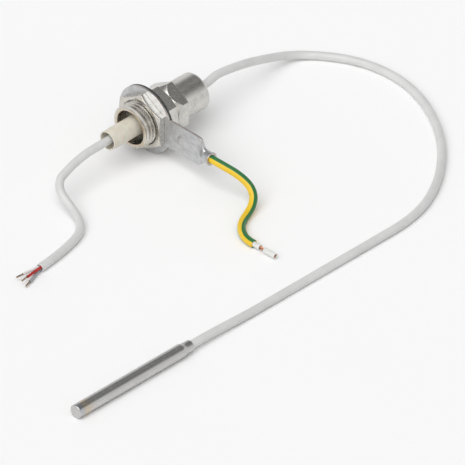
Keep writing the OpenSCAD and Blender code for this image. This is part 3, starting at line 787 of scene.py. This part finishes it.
# compression nut: hexagon in front, round barrel behind, one small hole for the cable
domeSet = {
    "hexagon": (15.4, 20.5), "across": 16.2, "turn": 0, "frontChamfer": 2.4, "backChamfer": 0.4,
    "faceInset": 0.03, "edge": 0.15, "bore": 6.4, "boreChamfer": 0.25, "steps": 6,
    # corners from the hexagon over the barrel and through the cable's hole to the bore
    "barrel": [(20.5, 7.0, 0.35), (31.9, 7.0, 1.2), (31.9, 2.0, 0.35), (29.3, 2.0, 0.1),
               (29.3, 5.7, 0.3), (20.9, 5.7, 0.1), (20.9, 6.4, 0.1)],
}


def makeDomeNut(dome):
    start, end = dome["hexagon"]
    across, bore, chamfer = dome["across"], dome["bore"], dome["boreChamfer"]
    face = across / 2 - dome["faceInset"]

    def outline(angle):
        reach = hexReach(angle, across, dome["turn"])
        share = chamferShare(reach, across)
        return roundCorners([
            (start, bore + chamfer, 0), (start, face, 0),
            (start + dome["frontChamfer"] * share, reach, dome["edge"]),
            (end - dome["backChamfer"] * share, reach, dome["edge"]), (end, face, 0),
            *dome["barrel"], (start + chamfer, bore, 0)], dome["steps"])

    makePiece("dome_nut_shell", turned(outline, hexAngles(dome["turn"])), "plate", "dome_nut",
              ["dome_nut"])


makeDomeNut(domeSet)

# gasket behind the terminal's ring, and the tube round the cable in the gland's mouth
gasketSet = {"from": 8.0, "to": 8.8, "inside": 7.83, "outside": 12.5, "edge": 0.14, "sides": 96}
sleeveSet = {"from": -10.8, "to": 14.3, "inside": 3.1, "outside": 3.6, "edge": 0.12, "sides": 96}


def makeRing(name, ring, finish, node):
    corners = (("from", "inside"), ("from", "outside"), ("to", "outside"), ("to", "inside"))
    points = roundCorners([(ring[x], ring[r], ring["edge"]) for x, r in corners])
    built = turned(lambda angle: points, roundAngles(ring["sides"]))
    makePiece(name, built, finish, "gland", [node])


makeRing("gasket_ring", gasketSet, "rubber", "panel_gasket")
makeRing("sleeve_tube", sleeveSet, "sleeve", "insulating_sleeve")

# probe: drawn tube closed at its tip and swaged down on the cable at its neck
probeSet = {"tip": (-119.7, -94.5, -10), "radius": 2.5, "bore": 2.1, "tipWall": 0.9, "tipRound": 0.3,
            "neckFrom": 49.2, "neckTo": 51.6, "neckSteps": 12, "length": 54.2, "neck": 2.08,
            "neckBore": 1.53, "rim": 0.4, "boreRim": 0.12, "floorRound": 0.3, "steps": 8, "sides": 64}


def makeProbe(probe):
    tip = Vector(probe["tip"])
    outer = [(0, 0, 0), (0, probe["radius"], probe["tipRound"])]
    inner = [(probe["length"], probe["neckBore"], probe["boreRim"])]
    for k in range(probe["neckSteps"] + 1):
        t = k / probe["neckSteps"]
        x = probe["neckFrom"] + (probe["neckTo"] - probe["neckFrom"]) * t
        outer.append((x, probe["radius"] + (probe["neck"] - probe["radius"]) * easeIn(t), 0))
        x = probe["neckTo"] + (probe["neckFrom"] - probe["neckTo"]) * t
        inner.append((x, probe["neckBore"] + (probe["bore"] - probe["neckBore"]) * easeIn(t), 0))
    outer.append((probe["length"], probe["neck"], probe["rim"]))
    inner += [(probe["tipWall"], probe["bore"], probe["floorRound"]), (probe["tipWall"], 0, 0)]
    points = [(tip.x + x, r) for x, r in roundCorners(outer + inner, probe["steps"])]
    built = turned(lambda angle: points, roundAngles(probe["sides"]), (tip.y, tip.z), False)
    makePiece("probe_tube", built, "steel", "gland", ["probe_sheath"])


makeProbe(probeSet)
print("turned pieces made")

# ring terminal: flat ring and palm, a funnel and a barrel round the lead
lugSet = {
    "front": 7.2, "back": 8.0, "ring": 12.5, "hole": 8.3, "middle": -0.5, "half": 5.8, "rim": 0.12,
    "raySteps": 60, "rayAngle": 3, "rayClear": 0.69, "bendFrom": -14, "bendLength": 2.4, "bendHalf": 2.2,
    "pressed": 0.3, "pressedTip": -17.8, "pressedHalf": 1.8, "pressedEdge": 0.5, "pressedFade": 0.5,
    "window": -24.6, "topFrom": -26.5, "bottomFrom": -25.0, "columns": 53, "neckSteps": 36,
    "fan": 80, "rimFan": 86, "roundFrom": 0.42, "hump": 1.5, "humpHalf": 3.4, "humpFull": 0.95,
    "barrelFrom": -30.5, "barrelX": 7.0, "barrel": 2.18,
    # station and radius from the barrel over its bead into the bore
    "mouth": [(-31.68, 2.18), (-31.8, 2.28), (-31.88, 2.38), (-31.96, 2.43), (-32.14, 2.43),
              (-32.25, 2.37), (-32.3, 2.25), (-32.3, 1.6), (-32.18, 1.48), (-30.8, 1.48)],
}


# the conductor under the sheet shows as a low swelling on both faces
def swelling(lug, y, z):
    away = math.hypot(max(y - lug["pressedTip"], 0), z - lug["middle"])
    return lug["pressed"] * (1 - easeIn((away - lug["pressedHalf"]) / lug["pressedEdge"] + 0.5))


# one section across the neck: front row from the top down, back row from the bottom up
def neckSection(lug, y):
    half, barrel, rim, count = lug["half"], lug["barrel"], lug["rim"], lug["columns"]
    thick, mid = (lug["back"] - lug["front"]) / 2, (lug["front"] + lug["back"]) / 2
    t = (y - lug["window"]) / (lug["barrelFrom"] - lug["window"])
    roundness = easeIn((t - lug["roundFrom"]) / (1 - lug["roundFrom"]))
    centre = mid + (lug["barrelX"] - mid) * easeIn(t)
    hump = lug["hump"] * easeIn(t / lug["humpFull"])
    wide = lug["humpHalf"] + (barrel - lug["humpHalf"]) * t
    fade = 1 - easeIn(t / lug["pressedFade"])

    def narrowed(start):
        return half + (barrel - half) * easeIn((start - y) / (start - lug["barrelFrom"]))

    top, bottom = narrowed(lug["topFrom"]), narrowed(lug["bottomFrom"])

    # from the flat sheet to the round barrel
    def point(x, z, angle, sign):
        flat = Vector((centre + sign * x, z))
        ring = Vector((centre + sign * barrel * math.cos(angle), barrel * math.sin(angle)))
        both = flat.lerp(ring, roundness)
        return (both.x, y, lug["middle"] + both.y)

    def row(sign):
        points = []
        for k in range(count):
            angle = math.radians(lug["fan"] * (1 - 2 * k / (count - 1)))
            share = math.sin(angle) / math.sin(math.radians(lug["fan"]))
            z = share * ((top if share >= 0 else bottom) - rim)
            rise = hump * (1 - min(1, (z / wide) ** 2)) ** 2
            pressed = swelling(lug, y, lug["middle"] + z) * fade
            points.append(point(thick + rise + pressed, z, angle, sign))
        return points

    ends = math.radians(lug["rimFan"])
    low = [point(thick - rim, -bottom, -ends, sign) for sign in (-1, 1)]
    high = [point(thick - rim, top, ends, sign) for sign in (1, -1)]
    return row(-1) + low + row(1)[::-1] + high


# outer edge of the flat part along a ray from the ring's middle
def lugEdge(lug, angle, inset):
    ring = lug["ring"] - inset
    c, s = math.cos(angle), math.sin(angle)
    if c >= 0:
        return ring
    top, bottom = lug["middle"] + lug["half"] - inset, lug["middle"] - lug["half"] + inset
    side = (top if s > 0 else bottom) / s if abs(s) > 1e-6 else math.inf
    return max(ring, min(side, lug["window"] / c))


# beside the conductor the rays bend to run along the palm, so that its edges stay straight
def palmRay(lug, y, end):
    ray = end * y / lug["window"]
    along = easeIn((lug["bendFrom"] - y) / lug["bendLength"])
    inner = (lug["half"] - abs(end - lug["middle"])) / (lug["half"] - lug["bendHalf"])
    return ray + (end - ray) * along * min(inner, 1)


# angles of the rays, and with each one its place in the row where the neck begins
def lugRays(lug, firstRing):
    window = [math.atan2(p[2], p[1]) % math.tau for p in firstRing[:lug["columns"]]]
    plain = [math.radians(k) for k in range(0, 361, lug["rayAngle"])]
    for edge in (lug["middle"] + lug["half"], lug["middle"] - lug["half"]):
        plain.append(math.pi - math.asin(edge / lug["ring"]))
    clear = math.radians(lug["rayClear"])
    plain = [a for a in plain if a < window[0] - clear or a > window[-1] + clear]
    rays = [(a, None) for a in plain] + [(a, j) for j, a in enumerate(window)]
    return sorted(rays, key=lambda ray: ray[0])


# flat part: rays from the hole's edge to the outer edge, front face, rim and back face in one column
def flatSheet(lug, firstRing):
    front, back, rim, hole = lug["front"], lug["back"], lug["rim"], lug["hole"]
    steps, count = lug["raySteps"], lug["columns"]
    corners = {0: (firstRing[-1], firstRing[-2]), count - 1: (firstRing[count], firstRing[count + 1])}
    rays = lugRays(lug, firstRing)
    verts = []
    for angle, j in rays:
        c, s = math.cos(angle), math.sin(angle)
        if j is None:
            outer, edge = lugEdge(lug, angle, rim), lugEdge(lug, angle, 0)
            rimPoints = ((front + rim, edge * c, edge * s), (back - rim, edge * c, edge * s))
        else:
            outer = math.hypot(firstRing[j][1], firstRing[j][2])
            rimPoints = corners.get(j, (firstRing[j], firstRing[j]))
        face = []
        for k in range(steps + 1):
            r = hole + rim + (outer - hole - rim) * k / steps
            y = r * c
            z = r * s if j is None else palmRay(lug, y, firstRing[j][2])
            face.append((swelling(lug, y, z), y, z))
        verts.append((front + rim, hole * c, hole * s))
        verts += [(front - rise, y, z) for rise, y, z in face]
        verts += rimPoints
        verts += [(back + rise, y, z) for rise, y, z in face[::-1]]
        verts.append((back - rim, hole * c, hole * s))
    size = 2 * steps + 6
    rimFaces = (steps + 1, steps + 2, steps + 3)  # left open where the neck begins
    faces = []
    for n, quad in enumerate(facesBetween(len(rays), size)):
        i, k = divmod(n, size)
        inWindow = rays[i][1] is not None and rays[i + 1][1] is not None
        if not (inWindow and k in rimFaces):
            faces.append(quad)
    return verts, faces


def makeLug(lug):
    middle, barrelX, steps = lug["middle"], lug["barrelX"], lug["neckSteps"]
    length = lug["barrelFrom"] - lug["window"]
    loops = [neckSection(lug, lug["window"] + length * k / steps) for k in range(steps + 1)]
    verts, faces = flatSheet(lug, loops[0])
    # barrel with its bead, and the bore that takes the lead
    barrel = loops[-1]
    for y, r in lug["mouth"]:
        scale = r / lug["barrel"]
        loops.append([(barrelX + (x - barrelX) * scale, y, middle + (z - middle) * scale)
                      for x, _, z in barrel])
    base, size = len(verts), len(barrel)
    for loop in loops:
        verts += loop
    faces += facesBetween(len(loops), size, base=base)
    faces.append(tuple(range(len(verts) - size, len(verts))))
    makePiece("earth_terminal_sheet", (verts, faces), "tin", "earth_terminal",
              ["earth_lug"])


makeLug(lugSet)
print("terminal made")

# welded ball of the junction, a little lumpy, and the cement round it
tipSet = {"lump": 0.05, "waves": (5, 4),
          "ball": ("weld_ball", "element", "element_wire", "junction_bead"),
          "cement": ("tip_cement", "ceramic", "ceramic", "tip_filler")}


def makeTipInside(tip):
    first, second = tip["waves"]
    for part, lump in (("ball", tip["lump"]), ("cement", 0)):
        name, finish, slot, node = tip[part]
        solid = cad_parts[node].data
        middle = (Vector(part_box(node)[0]) + Vector(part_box(node)[1])) / 2
        points = []
        for vert in solid.vertices:
            out = (vert.co - middle) / mm
            dent = lump * (2 + math.sin(first * out.x) + math.sin(second * out.y + out.z)) / 4
            points.append(middle / mm + out * (1 - dent))
        faces = [tuple(face.vertices) for face in solid.polygons]
        makePiece(name, (points, faces), finish, "gland", [node])


makeTipInside(tipSet)

# solids that stay, held inside the others
insideSet = {"seal_insert": "rubber", "thrust_ring": "nylon", "lug_conductor": "copper",
             "neck_bush": "rubber", "ceramic_insulator": "ceramic", "positive_element": "element",
             "negative_element": "element", "positive_splice": "tin", "negative_splice": "tin"}
for name, finish in insideSet.items():
    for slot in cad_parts[name].material_slots:
        slot.material = finishes[finish].material
print("inside pieces dressed:", len(insideSet))

# plain soft light over a pale table; the walls are what metal mirrors, from the horizon up
lightSet = {"sky": 0.48, "sun": 2.0, "sunSpread": 62, "sunFrom": (-0.9, -0.25, 1.35),
            "walls": [(0.0, 0.45), (0.1, 0.95), (0.35, 0.85), (0.62, 0.3), (0.8, 0.12), (1.0, 0.2)]}
tableSet = {"height": -12.52, "size": 6000, "colour": (0.94, 0.94, 0.94), "tone": 0.008, "cloud": 60.0,
            "rough": 0.8}


def addLight(light):
    world = bpy.data.worlds.new("studio")
    world.use_nodes = True
    scene.world = world
    paint = Paint("studio", world.node_tree)
    seen = paint.node("LightPath", out="Is Camera Ray")
    glossy = Wire(paint, seen.socket.node.outputs["Is Glossy Ray"])
    through = Wire(paint, seen.socket.node.outputs["Is Transmission Ray"])
    # metal mirrors pale walls under a dimmer ceiling
    height = paint.parts(paint.node("TexCoord", out="Generated"))[2]
    walls = paint.node("ValToRGB", {"stops": [(h, (v, v, v)) for h, v in light["walls"]]}, {0: height})
    mirrored = paint.node("RGBToBW", None, {0: walls})
    white = paint.node("Math", {"operation": "MINIMUM"}, {0: seen + through, 1: 1.0})
    level = light["sky"] + white * (1 - light["sky"])
    backdrop = paint.tree.nodes["Background"]
    paint.feed(backdrop.inputs["Color"], (1, 1, 1))
    paint.feed(backdrop.inputs["Strength"], level * (1 - glossy) + mirrored * glossy)
    lamp = bpy.data.lights.new("window", "SUN")
    lamp.energy = light["sun"]
    lamp.angle = math.radians(light["sunSpread"])
    holder = bpy.data.objects.new("window", lamp)
    holder.rotation_euler = Vector(light["sunFrom"]).to_track_quat("Z", "Y").to_euler()
    scene.collection.objects.link(holder)


def addTable(top):
    half, height = top["size"] * mm / 2, top["height"] * mm
    corners = [(x * half, y * half, height) for x, y in ((-1, -1), (1, -1), (1, 1), (-1, 1))]
    mesh = bpy.data.meshes.new("table")
    mesh.from_pydata(corners, [], [(0, 1, 2, 3)])
    table = bpy.data.objects.new("table", mesh)
    scene.collection.objects.link(table)
    paint = Paint("paleTable")
    cloud = paint.noise(top["cloud"], paint.place())
    paler = tuple(v + top["tone"] for v in top["colour"])
    paint.finish(colour=paint.mixed(cloud, top["colour"], paler), rough=top["rough"])
    mesh.materials.append(paint.material)


addLight(lightSet)
addTable(tableSet)
scene.view_settings.view_transform = "Standard"
print("light and table set")

bpy.context.view_layer.update()
